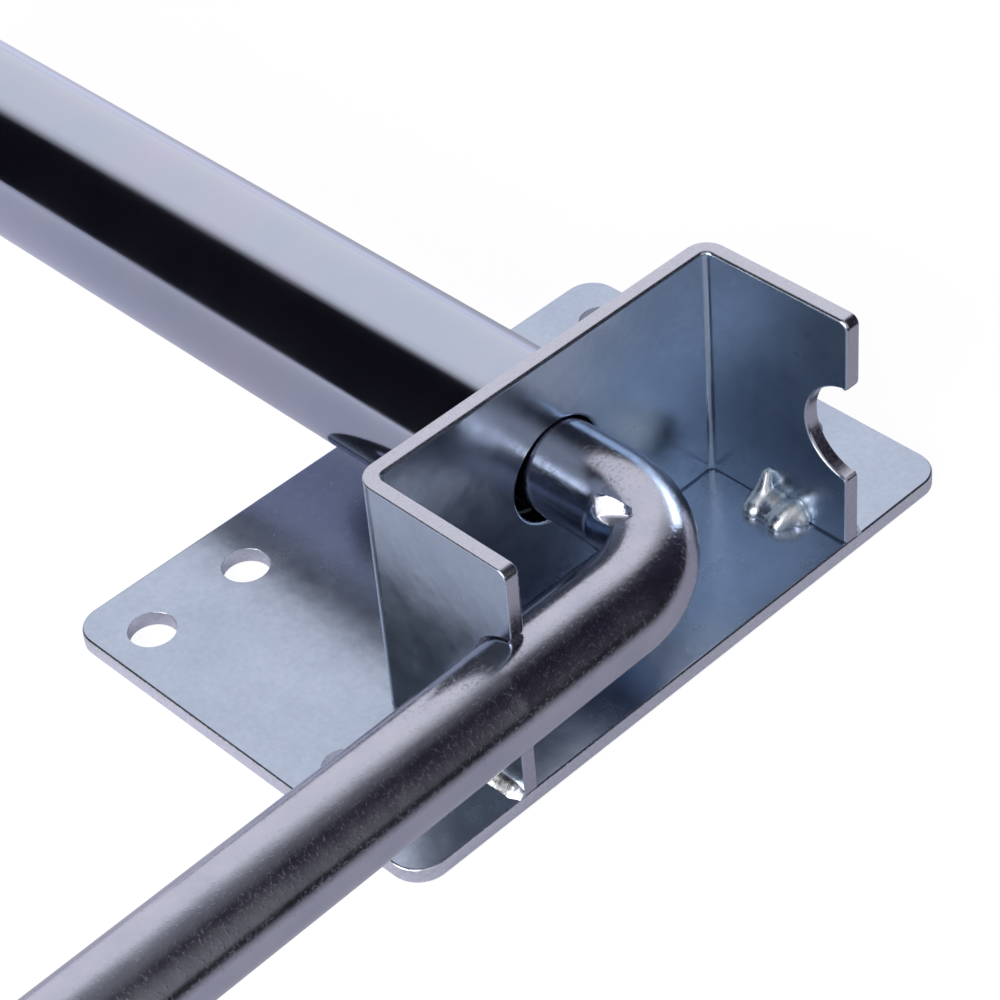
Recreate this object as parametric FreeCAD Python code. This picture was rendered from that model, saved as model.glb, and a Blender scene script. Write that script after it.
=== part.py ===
import FreeCAD, Part
import math
import os

# Door holder: a spring-loaded rod with a right-angle arm. The rod slides and turns in a tube that is
# welded behind a U-shaped bracket on a bolted plate. Its arm drops into a half-round notch in either ear.
# Millimetres. +Z is up off the mounting plate, +Y runs back along the tube, +X is to the right.
# The origin is the centre of the plate's four corner holes, on the mounting face.

V = FreeCAD.Vector
X_AXIS = V(1, 0, 0)
Y_AXIS = V(0, 1, 0)
Z_AXIS = V(0, 0, 1)

# Mounting plate
plate_width = 150.0
plate_depth = 101.0
plate_thickness = 3.5
plate_corner_radius = 6.5
bolt_hole_diameter = 10.0
side_hole_margin = 10.5
rear_hole_margin = 13.5
corner_hole_spacing_y = 57.0
rear_hole_pitch = 24.75

# U-shaped bracket, bent from one strip
bracket_width = 94.5
bracket_height = 56.0
bracket_depth = 39.5
bracket_sheet = 3.5
bracket_inner_bend_radius = 1.5
ear_corner_radius = 2.0
rod_axis_height = 28.2
notch_centre_lead = 0.9
notch_lip_radius = 1.2
hole_side_offset = 0.4

# Bent rod
rod_diameter = 20.0
rod_hole_clearance = 1.4
rod_side_lean = 0.3
rod_lift = 1.05
arm_length = 200.0
arm_splay_degrees = 1.1
arm_lift_degrees = 0.1
arm_seat_depth = 0.15
bend_radius = 22.8
crease_reach = 19.3
arm_tip_chamfer = 1.5

# Tube, spring and the stop at the rod's inner end
tube_diameter = 38.0
tube_wall = 2.0
tube_length = 250.0
spring_wire = 3.0
spring_mean_diameter = 28.0
spring_turns = 24
spring_end_gap = 0.2
washer_diameter = 30.5
washer_thickness = 3.0
washer_hole_clearance = 0.5
thread_diameter = 16.0
thread_chamfer = 1.2
nut_width = 24.0
nut_height = 12.0
nut_collar_height = 4.0
nut_collar_diameter = 21.0
nut_collar_wall = 1.2
nut_chamfer_reach = 0.8
thread_fit_clearance = 0.05
thread_protrusion = 2.0
nut_to_cap_room = 6.0

# Push-in cap at the tube's rear end
cap_flange_thickness = 2.5
cap_plug_length = 9.0
cap_plug_wall = 2.0
cap_plug_clearance = 0.05
cap_edge_radius = 1.2

# Weld beads
tack_weld_reach = 7.0
tack_weld_height = 8.0
tack_weld_length = 14.5
tack_weld_setback = 17.0
outer_weld_leg = 2.4
outer_weld_length = 21.0
tube_weld_leg = 3.5

# How near a point must lie to a plane to count as on it
on_plane = 1e-3

# Places that follow from the sizes above
corner_hole_x = plate_width / 2 - side_hole_margin
inner_hole_x = corner_hole_x - rear_hole_pitch
plate_rear_y = corner_hole_spacing_y / 2 + rear_hole_margin
plate_front_y = plate_rear_y - plate_depth
plate_top_z = plate_thickness
ear_front_y = plate_front_y
wall_rear_y = ear_front_y + bracket_depth
wall_front_y = wall_rear_y - bracket_sheet
ear_outer_x = bracket_width / 2
ear_inner_x = ear_outer_x - bracket_sheet
bracket_top_z = plate_top_z + bracket_height
axis_x = hole_side_offset
axis_z = plate_top_z + rod_axis_height
rod_x = axis_x + rod_side_lean
rod_z = axis_z + rod_lift
rod_radius = rod_diameter / 2
rod_hole_radius = rod_radius + rod_hole_clearance
notch_centre_y = ear_front_y - notch_centre_lead
tube_radius = tube_diameter / 2
tube_bore_radius = tube_radius - tube_wall
tube_rear_y = wall_rear_y + tube_length
cap_plug_front_y = tube_rear_y - cap_plug_length
thread_end_y = cap_plug_front_y - nut_to_cap_room
nut_rear_y = thread_end_y - thread_protrusion
nut_front_y = nut_rear_y - nut_height - nut_collar_height
washer_front_y = nut_front_y - washer_thickness
spring_x = axis_x + rod_side_lean / 2


def box(x0, x1, y0, y1, z0, z1):
    """A block between two corners."""
    return Part.makeBox(x1 - x0, y1 - y0, z1 - z0, V(x0, y0, z0))


def bar_along_y(radius, y0, y1, x=axis_x, z=axis_z):
    """A round bar along Y, on the tube's axis unless x and z say otherwise."""
    return Part.makeCylinder(radius, y1 - y0, V(x, y0, z), Y_AXIS)


def edges_along(shape, direction, wanted):
    """Straight edges that lie along a direction and pass the test on their middle point."""
    found = []
    for edge in shape.Edges:
        ends = edge.Vertexes
        if len(ends) != 2:
            continue
        run = ends[1].Point.sub(ends[0].Point)
        if edge.Curve.TypeId != "Part::GeomLine":
            continue
        if abs(run.normalize().dot(direction)) > 1 - on_plane and wanted(edge.CenterOfMass):
            found.append(edge)
    return found


def mounting_plate():
    """Flat plate with round corners and six bolt holes."""
    half = plate_width / 2
    plate = box(-half, half, plate_front_y, plate_rear_y, 0, plate_thickness)
    corners = edges_along(plate, Z_AXIS, lambda p: True)
    plate = plate.makeFillet(plate_corner_radius, corners)
    rear_y = corner_hole_spacing_y / 2
    centres = []
    for side in (-1, 1):
        centres.append((side * corner_hole_x, -rear_y))
        centres.append((side * corner_hole_x, rear_y))
        centres.append((side * inner_hole_x, rear_y))
    for x, y in centres:
        plate = plate.cut(Part.makeCylinder(bolt_hole_diameter / 2, plate_thickness, V(x, y, 0)))
    return plate


def u_bracket():
    """Back wall and two ears bent from one strip, with the rod's hole and a notch in each ear."""
    block = box(-ear_outer_x, ear_outer_x, ear_front_y, wall_rear_y, plate_top_z, bracket_top_z)
    outer_radius = bracket_inner_bend_radius + bracket_sheet
    outer_bends = edges_along(block, Z_AXIS, lambda p: p.y > wall_rear_y - on_plane)
    block = block.makeFillet(outer_radius, outer_bends)
    past_front_y = ear_front_y - bracket_sheet
    room = box(-ear_inner_x, ear_inner_x, past_front_y, wall_front_y, plate_top_z, bracket_top_z)
    inner_bends = edges_along(room, Z_AXIS, lambda p: p.y > wall_front_y - on_plane)
    bracket = block.cut(room.makeFillet(bracket_inner_bend_radius, inner_bends))
    front_edges = edges_along(bracket, X_AXIS, lambda p: p.y < ear_front_y + on_plane)
    top_corners = [e for e in front_edges if e.CenterOfMass.z > bracket_top_z - on_plane]
    bracket = bracket.makeFillet(ear_corner_radius, top_corners)
    bracket = bracket.cut(bar_along_y(rod_hole_radius, wall_front_y, wall_rear_y))
    notch_start = V(-ear_outer_x, notch_centre_y, axis_z)
    bracket = bracket.cut(Part.makeCylinder(rod_hole_radius, bracket_width, notch_start, X_AXIS))
    lips = edges_along(bracket, X_AXIS, lambda p: p.y < ear_front_y + on_plane and is_lip(p.z))
    return bracket.makeFillet(notch_lip_radius, lips)


def is_lip(z):
    """Whether a height is that of the notch's upper or lower lip on the ear's front edge."""
    half_mouth = math.sqrt(rod_hole_radius ** 2 - notch_centre_lead ** 2)
    return abs(abs(z - axis_z) - half_mouth) < on_plane


def spring_tube():
    """Plain tube from the back wall to the cap."""
    outside = bar_along_y(tube_radius, wall_rear_y, tube_rear_y)
    return outside.cut(bar_along_y(tube_bore_radius, wall_rear_y, tube_rear_y))


def tube_fillet_weld():
    """Ring of weld metal in the corner between tube and back wall."""
    corner = V(axis_x + tube_radius, wall_rear_y, axis_z)
    out = corner.add(V(tube_weld_leg, 0, 0))
    back = corner.add(V(0, tube_weld_leg, 0))
    section = Part.Face(Part.makePolygon([corner, out, back, corner]))
    return section.revolve(V(axis_x, wall_rear_y, axis_z), Y_AXIS, 360)


def inner_tack_welds():
    """A lump of weld metal in the corner between each ear's inner face and the plate."""
    lumps = []
    half_length = tack_weld_length / 2
    y = ear_front_y + tack_weld_setback
    for side in (-1, 1):
        stretch = FreeCAD.Matrix()
        stretch.scale(tack_weld_reach, half_length, tack_weld_height)
        lump = Part.makeSphere(1.0).transformGeometry(stretch)
        lump.translate(V(side * ear_inner_x, y, plate_top_z))
        near, far = sorted((side * ear_inner_x, side * (ear_inner_x - tack_weld_reach)))
        keep = box(near, far, y - half_length, y + half_length, plate_top_z, plate_top_z + tack_weld_height)
        lumps.append(lump.common(keep).Solids[0])
    return Part.makeCompound(lumps)


def outer_fillet_welds():
    """A narrow fillet of weld metal along the outside foot of each ear, at the front."""
    beads = []
    for side in (-1, 1):
        foot = V(side * ear_outer_x, ear_front_y, plate_top_z)
        out = foot.add(V(side * outer_weld_leg, 0, 0))
        up = foot.add(V(0, 0, outer_weld_leg))
        section = Part.Face(Part.makePolygon([foot, out, up, foot]))
        beads.append(section.extrude(V(0, outer_weld_length, 0)))
    return Part.makeCompound(beads)


def tube_end_cap():
    """Round plastic cap: a flange as wide as the tube and a hollow plug inside it."""
    flange = bar_along_y(tube_radius, tube_rear_y, tube_rear_y + cap_flange_thickness)
    rim = [e for e in flange.Edges if e.Closed and e.CenterOfMass.y > tube_rear_y + on_plane]
    flange = flange.makeFillet(cap_edge_radius, rim)
    plug_radius = tube_bore_radius - cap_plug_clearance
    plug = bar_along_y(plug_radius, cap_plug_front_y, tube_rear_y)
    hollow = bar_along_y(plug_radius - cap_plug_wall, cap_plug_front_y, tube_rear_y)
    return flange.fuse(plug.cut(hollow)).removeSplitter()


def arm_direction():
    """Unit vector along the arm, away from the bend."""
    splay = math.radians(arm_splay_degrees)
    lift = math.radians(arm_lift_degrees)
    level = math.cos(splay)
    return V(-level * math.cos(lift), -math.sin(splay), level * math.sin(lift))


def half_space(point, normal):
    """A large block that starts at a plane through the point and fills the side that the normal shows."""
    size = arm_length
    block = Part.makeBox(size, size, size, V(-size / 2, -size / 2, 0))
    block.Placement = FreeCAD.Placement(point, FreeCAD.Rotation(Z_AXIS, normal))
    return block


def chamfer_round_end(bar, size, end):
    """Chamfer the rim of a round bar whose circle is centred on the given end."""
    rims = [e for e in bar.Edges if e.Closed and e.CenterOfMass.sub(end).Length < on_plane]
    return bar.makeChamfer(size, rims)


def locking_rod():
    """Round bar: threaded inner end, straight shank, tight bend and straight arm."""
    forward = Y_AXIS.negative()
    along = arm_direction()
    to_ear = ear_outer_x - bracket_sheet / 2 + rod_x
    splay_run = to_ear * math.tan(math.radians(arm_splay_degrees))
    corner = V(rod_x, notch_centre_y + arm_seat_depth + splay_run, rod_z)
    turn = math.acos(forward.dot(along))
    setback = bend_radius * math.tan(turn / 2)
    bend_start = corner.sub(V(forward).multiply(setback))
    bend_end = corner.add(V(along).multiply(setback))
    bend_axis = forward.cross(along).normalize()
    bend_centre = bend_start.add(bend_axis.cross(forward).multiply(bend_radius))

    # The bend's outside follows a wide arc. Its inside is pressed into a sharp crease, which ends
    # at a steep wall, and above and below that wall the bar is round again.
    section = Part.Face(Part.Wire(Part.makeCircle(rod_radius, bend_start, forward)))
    arc = section.revolve(bend_centre, bend_axis, math.degrees(turn))
    reach = setback + rod_diameter
    mitre_normal = forward.add(along).normalize()
    first_bar = Part.makeCylinder(rod_radius, reach, bend_start, forward)
    first_bar = first_bar.common(half_space(corner, mitre_normal.negative()))
    second_bar = Part.makeCylinder(rod_radius, reach, bend_end, along.negative())
    second_bar = second_bar.common(half_space(corner, mitre_normal))
    core_foot = bend_centre.sub(V(bend_axis).multiply(rod_diameter))
    core = Part.makeCylinder(crease_reach, 2 * rod_diameter, core_foot, bend_axis)
    elbow = arc.common(first_bar.fuse(second_bar)).fuse(arc.cut(core))

    # The thread starts at the shoulder that the washer rests on
    shoulder = V(rod_x, washer_front_y, rod_z)
    thread_end = V(rod_x, thread_end_y, rod_z)
    shank = Part.makeCylinder(rod_radius, shoulder.sub(bend_start).Length, bend_start, Y_AXIS)
    stub = Part.makeCylinder(thread_diameter / 2, thread_end.sub(shoulder).Length, shoulder, Y_AXIS)
    stub = chamfer_round_end(stub, thread_chamfer, thread_end)
    tip = corner.add(V(along).multiply(arm_length))
    arm = Part.makeCylinder(rod_radius, arm_length - setback, bend_end, along)
    arm = chamfer_round_end(arm, arm_tip_chamfer, tip)
    return shank.fuse([stub, elbow, arm]).removeSplitter()


def compression_spring():
    """Round wire wound between the back wall and the washer."""
    start_y = wall_rear_y + spring_end_gap + spring_wire / 2
    end_y = washer_front_y - spring_end_gap - spring_wire / 2
    length = end_y - start_y
    coil_radius = spring_mean_diameter / 2
    path = Part.makeHelix(length / spring_turns, length, coil_radius)
    wire_section = Part.Wire(Part.makeCircle(spring_wire / 2, V(coil_radius, 0, 0), Y_AXIS))
    coil = Part.Wire(path).makePipeShell([wire_section], True, True)
    coil.rotate(V(0, 0, 0), X_AXIS, -90)
    coil.translate(V(spring_x, start_y, axis_z))
    return coil


def thrust_washer():
    """Flat washer on the thread that carries the spring's rear end."""
    hole_radius = thread_diameter / 2 + washer_hole_clearance
    disc = bar_along_y(washer_diameter / 2, washer_front_y, nut_front_y, rod_x, rod_z)
    return disc.cut(bar_along_y(hole_radius, washer_front_y, nut_front_y, rod_x, rod_z))


def lock_nut():
    """Hexagon nut with a collar that holds its plastic ring."""
    corner_radius = nut_width / math.sqrt(3)
    body_rear_y = nut_front_y + nut_height
    corners = []
    for k in range(7):
        angle = math.radians(60 * k)
        x = rod_x + corner_radius * math.cos(angle)
        corners.append(V(x, nut_front_y, rod_z + corner_radius * math.sin(angle)))
    hexagon = Part.Face(Part.makePolygon(corners)).extrude(V(0, nut_height, 0))
    turned = bar_along_y(corner_radius, nut_front_y, body_rear_y, rod_x, rod_z)
    turned = turned.makeChamfer(nut_chamfer_reach, [e for e in turned.Edges if e.Closed])
    collar = bar_along_y(nut_collar_diameter / 2, body_rear_y, nut_rear_y, rod_x, rod_z)
    nut = hexagon.common(turned).fuse(collar)
    bore_radius = thread_diameter / 2 + thread_fit_clearance
    nut = nut.cut(bar_along_y(bore_radius, nut_front_y, nut_rear_y, rod_x, rod_z))
    pocket_radius = nut_collar_diameter / 2 - nut_collar_wall
    nut = nut.cut(bar_along_y(pocket_radius, body_rear_y, nut_rear_y, rod_x, rod_z))
    return nut.removeSplitter()


def nut_insert_ring():
    """Plastic ring in the nut's collar that grips the thread."""
    body_rear_y = nut_front_y + nut_height
    outer_radius = nut_collar_diameter / 2 - nut_collar_wall - thread_fit_clearance
    bore_radius = thread_diameter / 2 + thread_fit_clearance
    ring = bar_along_y(outer_radius, body_rear_y, nut_rear_y, rod_x, rod_z)
    return ring.cut(bar_along_y(bore_radius, body_rear_y, nut_rear_y, rod_x, rod_z))


makers = {
    "mounting_plate": mounting_plate,
    "u_bracket": u_bracket,
    "spring_tube": spring_tube,
    "tube_end_cap": tube_end_cap,
    "tube_fillet_weld": tube_fillet_weld,
    "inner_tack_welds": inner_tack_welds,
    "outer_fillet_welds": outer_fillet_welds,
    "locking_rod": locking_rod,
    "compression_spring": compression_spring,
    "thrust_washer": thrust_washer,
    "lock_nut": lock_nut,
    "nut_insert_ring": nut_insert_ring,
}

os.makedirs("parts", exist_ok=True)
for node, make in makers.items():
    shape = make()
    print(node, "solids", len(shape.Solids), "valid", shape.isValid(), "volume", round(shape.Volume, 1))
    shape.exportStep("parts/" + node + ".step")
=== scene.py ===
# %% [markdown]
# # A door holder in zinc plated steel
# A round bar slides and turns in a tube behind a U-shaped bracket. Its arm drops into a notch in
# the bracket's ear and holds a door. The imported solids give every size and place, in metres, with
# +Z up off the plate and +Y back along the tube. Each cell below makes one piece or one finish.

# %% The frame
import bmesh
import bpy
import math
from mathutils import Matrix, Vector, noise


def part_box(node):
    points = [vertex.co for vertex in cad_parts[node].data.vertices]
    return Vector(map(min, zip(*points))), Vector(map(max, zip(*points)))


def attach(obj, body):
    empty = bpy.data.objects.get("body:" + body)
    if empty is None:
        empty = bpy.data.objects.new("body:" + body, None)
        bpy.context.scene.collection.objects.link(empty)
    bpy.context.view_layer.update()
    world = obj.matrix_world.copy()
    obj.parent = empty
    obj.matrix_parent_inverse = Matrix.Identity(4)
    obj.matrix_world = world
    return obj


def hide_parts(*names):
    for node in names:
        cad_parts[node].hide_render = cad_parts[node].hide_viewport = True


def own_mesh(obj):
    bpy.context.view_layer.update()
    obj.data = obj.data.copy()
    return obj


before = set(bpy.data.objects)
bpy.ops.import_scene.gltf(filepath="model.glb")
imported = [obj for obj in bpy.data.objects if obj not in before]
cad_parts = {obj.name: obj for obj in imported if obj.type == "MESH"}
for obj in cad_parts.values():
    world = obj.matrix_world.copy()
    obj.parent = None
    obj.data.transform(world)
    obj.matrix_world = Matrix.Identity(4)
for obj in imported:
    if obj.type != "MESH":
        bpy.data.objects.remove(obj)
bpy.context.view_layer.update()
scene = bpy.context.scene
mm = 0.001

# %% [markdown]
# Some sizes are needed again and again: the tube's axis, the rod's axis a little above it, and the
# faces of the bracket. They are read from the solids' boxes where a box gives them, so that the
# dressed pieces can't drift away from the frame. One round punch makes the rod's hole and the
# notches, whose centre lies just before the ears. A hair is a length too small to matter.

# %% Shared places
plate_low, plate_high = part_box("mounting_plate")
bracket_low, bracket_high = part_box("u_bracket")
tube_low, tube_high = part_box("spring_tube")
washer_low, washer_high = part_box("thrust_washer")
sheet = 3.5 * mm
hair = 0.001 * mm
axis_x = (tube_low.x + tube_high.x) / 2
axis_z = (tube_low.z + tube_high.z) / 2
rod_x = (washer_low.x + washer_high.x) / 2
rod_z = (washer_low.z + washer_high.z) / 2
rod_hole_radius = 11.4 * mm
notch_y = bracket_low.y - 0.9 * mm
print("axis x, z and rod x, z", [round(v / mm, 2) for v in (axis_x, axis_z, rod_x, rod_z)])


# %% [markdown]
# Modelling by code is the same as by hand: something is selected, then an operator changes it.
# Everything is deselected before a new primitive, because operators act on all that is selected.
# Parts of a mesh could be picked by their number, but numbers change with every edit before them.
# So the helpers open one piece in edit mode and select its parts by where they lie.

# %% Selecting
def nothing_selected():
    """Leaves edit mode and deselects every object."""
    if bpy.context.object and bpy.context.object.mode != "OBJECT":
        bpy.ops.object.mode_set(mode="OBJECT")
    bpy.ops.object.select_all(action="DESELECT")


def take(piece):
    """Makes this piece the only selected one, in object mode."""
    nothing_selected()
    piece.select_set(True)
    bpy.context.view_layer.objects.active = piece


def edit(piece):
    """Opens this piece, and no other, in edit mode."""
    take(piece)
    bpy.ops.object.mode_set(mode="EDIT")


def new_piece(name):
    """Names the primitive that was just added, puts its place into its mesh and returns it."""
    piece = bpy.context.object
    piece.name = name
    piece.data.name = name
    bpy.ops.object.transform_apply(location=True, rotation=True, scale=True)
    return piece


def pick(piece, part, test):
    """In edit mode, selects the piece's VERT, EDGE or FACE elements that pass the test."""
    bpy.ops.mesh.select_mode(type=part)
    bpy.ops.mesh.select_all(action="DESELECT")
    mesh = bmesh.from_edit_mesh(piece.data)
    elements = {"VERT": mesh.verts, "EDGE": mesh.edges, "FACE": mesh.faces}[part]
    found = 0
    for element in elements:
        if test(element):
            element.select_set(True)
            found += 1
    mesh.select_flush_mode()
    bmesh.update_edit_mesh(piece.data)
    return found


def middle(element):
    """The mean place of an edge's or face's corners."""
    corners = [v.co for v in element.verts]
    return sum(corners, Vector()) / len(corners)


# %% [markdown]
# A piece is finished by modifiers that are applied at once. Bevel rounds its edges, and Boolean
# takes out holes. A cut edge of sheet is rounded by less than a millimetre, and the broad faces
# beside it have to go on shading as flat planes. Closed shells get their faces turned outwards.

# %% Finishing
sharp = math.radians(50)
broad_face = 60 * mm * mm
seam = 0.002 * mm


def modify(piece, kind, **settings):
    """Adds a modifier with these settings and applies it."""
    take(piece)
    modifier = piece.modifiers.new(kind, kind)
    for name, value in settings.items():
        setattr(modifier, name, value)
    bpy.ops.object.modifier_apply(modifier=modifier.name)


def weigh_edges(piece, share, test):
    """In edit mode, gives the sharp edges that pass the test a share of the bevel's full width."""
    found = pick(piece, "EDGE", lambda e: e.calc_face_angle(0) > sharp and test(e))
    bpy.ops.transform.edge_bevelweight(value=share)
    return found


def soften(piece, width, material):
    """Rounds the weighed edges, gives the new strips their material, and keeps flat faces flat."""
    modify(piece, "BEVEL", limit_method="WEIGHT", width=width, segments=4, profile=0.5,
           material=material, face_strength_mode="FSTR_ALL", use_clamp_overlap=False)
    bpy.ops.object.shade_smooth()
    modify(piece, "WEIGHTED_NORMAL", mode="FACE_AREA", weight=100, use_face_influence=True)
    keep_flat(piece)


def keep_flat(piece):
    """Gives the corners of every broad face that face's own normal, so that it shades flat."""
    mesh = piece.data
    normals = [corner.vector.copy() for corner in mesh.corner_normals]
    for polygon in mesh.polygons:
        if polygon.area > broad_face:
            for corner in polygon.loop_indices:
                normals[corner] = polygon.normal.copy()
    mesh.normals_split_custom_set(normals)


def clean(piece):
    """Merges doubled corners and the seams that the cutters left on flat faces."""
    edit(piece)
    bpy.ops.mesh.select_all(action="SELECT")
    bpy.ops.mesh.remove_doubles(threshold=seam)
    bpy.ops.mesh.dissolve_limited(angle_limit=math.radians(0.2))
    bpy.ops.mesh.dissolve_degenerate(threshold=seam)
    bpy.ops.object.mode_set(mode="OBJECT")


def cut(piece, cutter):
    """Takes the cutter's shape out of the piece and removes the cutter."""
    modify(piece, "BOOLEAN", operation="DIFFERENCE", object=cutter, solver="EXACT")
    bpy.data.objects.remove(cutter)


def close_shell(merge=0.0):
    """In edit mode, merges what doubles, turns all faces outwards and leaves edit mode."""
    bpy.ops.mesh.select_all(action="SELECT")
    if merge:
        bpy.ops.mesh.remove_doubles(threshold=merge)
    bpy.ops.mesh.normals_make_consistent(inside=False)
    bpy.ops.object.mode_set(mode="OBJECT")


def joined(pieces, name):
    """Joins pieces into one mesh, names it and returns it."""
    take(pieces[0])
    for piece in pieces:
        piece.select_set(True)
    bpy.ops.object.join()
    return new_piece(name)


def finish_piece(piece, materials, body, slot, *nodes):
    """Gives a piece its materials, ties it to its body and hides its solids. The slot is not used.
    """
    for material in materials:
        piece.data.materials.append(material)
    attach(piece, body)
    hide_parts(*nodes)
    print(piece.name, "faces", len(piece.data.polygons), "on", body)


# %% [markdown]
# ## Finishes
# Nearly all the steel here is zinc plated, which gives a cool blue-grey metal with a slight lilac
# cast from the clear passivation over it. Pictures of plating could be wrapped round the pieces,
# but noise in a piece's own coordinates needs no unwrapping, shows no seam at the bends, and takes
# its sizes in millimetres. One function turns a hex colour to linear values, and one adds a node
# with its settings, its links and, where it is a ramp, its stops.

# %% Colour and node helpers
def colour(code):
    """Linear colour with full alpha from an sRGB hex value."""
    parts = [int(code[i:i + 2], 16) / 255 for i in (1, 3, 5)]
    return [c / 12.92 if c <= 0.04045 else ((c + 0.055) / 1.055) ** 2.4 for c in parts] + [1.0]


def add(tree, kind, inputs=None, stops=(), **settings):
    """Adds a node, sets its properties and a ramp's stops, and sets or links its inputs."""
    node = tree.nodes.new(kind)
    for name, value in settings.items():
        setattr(node, name, value)
    if stops:
        elements = node.color_ramp.elements
        while len(elements) < len(stops):
            elements.new(1.0)
        for element, (position, tint) in zip(elements, stops):
            element.position = position
            element.color = tint
    for name, value in (inputs or {}).items():
        if isinstance(value, bpy.types.NodeSocket):
            tree.links.new(value, node.inputs[name])
        else:
            node.inputs[name].default_value = value
    return node


def new_material(name, metallic, roughness):
    """A material with one Principled shader. Returns the material, its tree and the shader."""
    material = bpy.data.materials.new(name)
    material.use_nodes = True
    tree = material.node_tree
    shader = tree.nodes["Principled BSDF"]
    shader.inputs["Metallic"].default_value = metallic
    shader.inputs["Roughness"].default_value = roughness
    return material, tree, shader


def per_mm(size):
    """The texture scale at which a pattern's features are this many millimetres wide."""
    return 1 / (size * mm)


# %% [markdown]
# Many of the finishes differ only in one grain. It runs from a deep to a pale tint, makes the
# surface smoother or rougher, and stands up as a fine relief. So one function makes them all, from
# the grain's size in millimetres, its two tints, the least and the greatest roughness, and the
# relief's strength and depth. A plastic also gets the index of refraction of its polymer.

# %% Grained finish
def grained(name, metallic, size, tints, rough, detail=4.0, broken=0.5, span=(0.0, 1.0),
            relief=(), ior=None):
    """A finish whose tint, roughness and relief follow one grain."""
    material, tree, shader = new_material(name, metallic, rough[0])
    place = add(tree, "ShaderNodeTexCoord").outputs["Object"]
    grain = add(tree, "ShaderNodeTexNoise", {
        "Vector": place, "Scale": per_mm(size), "Detail": detail,
        "Roughness": broken}).outputs["Fac"]
    tint = add(tree, "ShaderNodeValToRGB", {"Fac": grain}, stops=[
        (0.3, colour(tints[0])), (0.7, colour(tints[1]))])
    tree.links.new(tint.outputs["Color"], shader.inputs["Base Color"])
    if len(rough) > 1:
        shine = add(tree, "ShaderNodeMapRange", {
            "Value": grain, "From Min": span[0], "From Max": span[1],
            "To Min": rough[0], "To Max": rough[1]})
        tree.links.new(shine.outputs["Result"], shader.inputs["Roughness"])
    if relief:
        bump = add(tree, "ShaderNodeBump", {
            "Height": grain, "Strength": relief[0], "Distance": relief[1] * mm})
        tree.links.new(bump.outputs["Normal"], shader.inputs["Normal"])
    if ior:
        shader.inputs["IOR"].default_value = ior
    return material


# %% [markdown]
# The plate and the bracket are cold rolled sheet, zinc plated in a barrel. The sheet shows soft
# blotches of two or three centimetres where the zinc is a little thicker, cloudy patches of a few
# millimetres, and a fine mottling of the zinc, drawn at 1.3 mm so that it shows. Rolled sheet is
# never quite flat, so faint waves of a centimetre bend its reflections. They could be modelled,
# but they are too shallow to show in an outline, so a bump does the same with far fewer faces.

# %% Zinc plated sheet
def zinc_sheet_material(name, pale, deep, low_rough, high_rough):
    """Plated rolled sheet with blotches, clouds and a fine mottling."""
    material, tree, shader = new_material(name, 1.0, 0.3)
    place = add(tree, "ShaderNodeTexCoord").outputs["Object"]
    blotch = add(tree, "ShaderNodeTexNoise", {
        "Vector": place, "Scale": per_mm(22), "Detail": 4.0, "Roughness": 0.6}).outputs["Fac"]
    crystal = add(tree, "ShaderNodeTexNoise", {
        "Vector": place, "Scale": per_mm(1.3), "Detail": 3.0, "Roughness": 0.6}).outputs["Fac"]
    mottled = add(tree, "ShaderNodeMix", {0: 0.45, 2: blotch, 3: crystal}).outputs[0]
    base = add(tree, "ShaderNodeValToRGB", {"Fac": mottled}, stops=[
        (0.36, colour(deep)), (0.64, colour(pale))])
    tree.links.new(base.outputs["Color"], shader.inputs["Base Color"])
    fog = add(tree, "ShaderNodeTexNoise", {
        "Vector": place, "Scale": per_mm(7), "Detail": 5.0, "Roughness": 0.65}).outputs["Fac"]
    rough = add(tree, "ShaderNodeMapRange", {
        "Value": fog, "From Min": 0.3, "From Max": 0.7,
        "To Min": low_rough, "To Max": high_rough}).outputs["Result"]
    tree.links.new(rough, shader.inputs["Roughness"])
    wave = add(tree, "ShaderNodeTexNoise", {
        "Vector": place, "Scale": per_mm(9), "Detail": 2.0}).outputs["Fac"]
    waves = add(tree, "ShaderNodeBump", {
        "Height": wave, "Strength": 1.0, "Distance": 0.1 * mm}).outputs["Normal"]
    tree.links.new(waves, shader.inputs["Normal"])
    return material


zinc_plate = zinc_sheet_material("zinc_plated_sheet_plate", "#B8C2D4", "#AAB5C9", 0.22, 0.29)
zinc_bracket = zinc_sheet_material("zinc_plated_sheet_bracket", "#C0CFDF", "#B3C3D6", 0.2, 0.28)
print("sheet finishes", zinc_plate.name, zinc_bracket.name)

# %% [markdown]
# Where the sheet was sheared, the cut shows two bands: a smooth one where the blade went in and a
# torn one below. The plating makes both bright and a little sparkly, with a grain of 0.8 mm. They
# could be two finishes, but each band is under 2 mm wide, so one grain stands for both. The
# plate's edge has paler tints than the bracket's. This is painted light: it brightens the plate's
# front strip, where the floor that the strip mirrors lies in shade.

# %% Sheared edge
def sheared_edge(name, *tints):
    """Plated metal with the torn grain of a sheared edge."""
    return grained(name, 1.0, 0.8, tints, (0.16, 0.32), broken=0.7, span=(0.3, 0.7),
                   relief=(0.35, 0.04))


# The plate edge's paler tints are painted light, which brightens its front strip where it mirrors
# shaded floor.
plate_edge_painted_lighter = sheared_edge("zinc_plated_plate_cut_painted_lighter", "#DADDE8", "#ECEEF4")
bracket_edge = sheared_edge("zinc_plated_bracket_edge", "#B5B6C4", "#C6C7D3")
print("edge finishes", plate_edge_painted_lighter.name, bracket_edge.name)

# %% [markdown]
# The rim of a cut is bright where the sheet rolled over under the punch. It is smoother than the
# cut, so it draws thin dark and light lines along every edge, broken by small nicks. A shader
# could search for edges, but the bevel knows its own new strips and gives them this finish.

# %% Rolled rim
zinc_rolled = grained(
    "zinc_plated_rolled_rim", 1.0, 1.1, ("#BCC4D4", "#DCE0EA"), (0.1, 0.24), detail=3.0,
    broken=0.6, span=(0.3, 0.7), relief=(0.5, 0.06))
print("rim finish", zinc_rolled.name)

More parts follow.
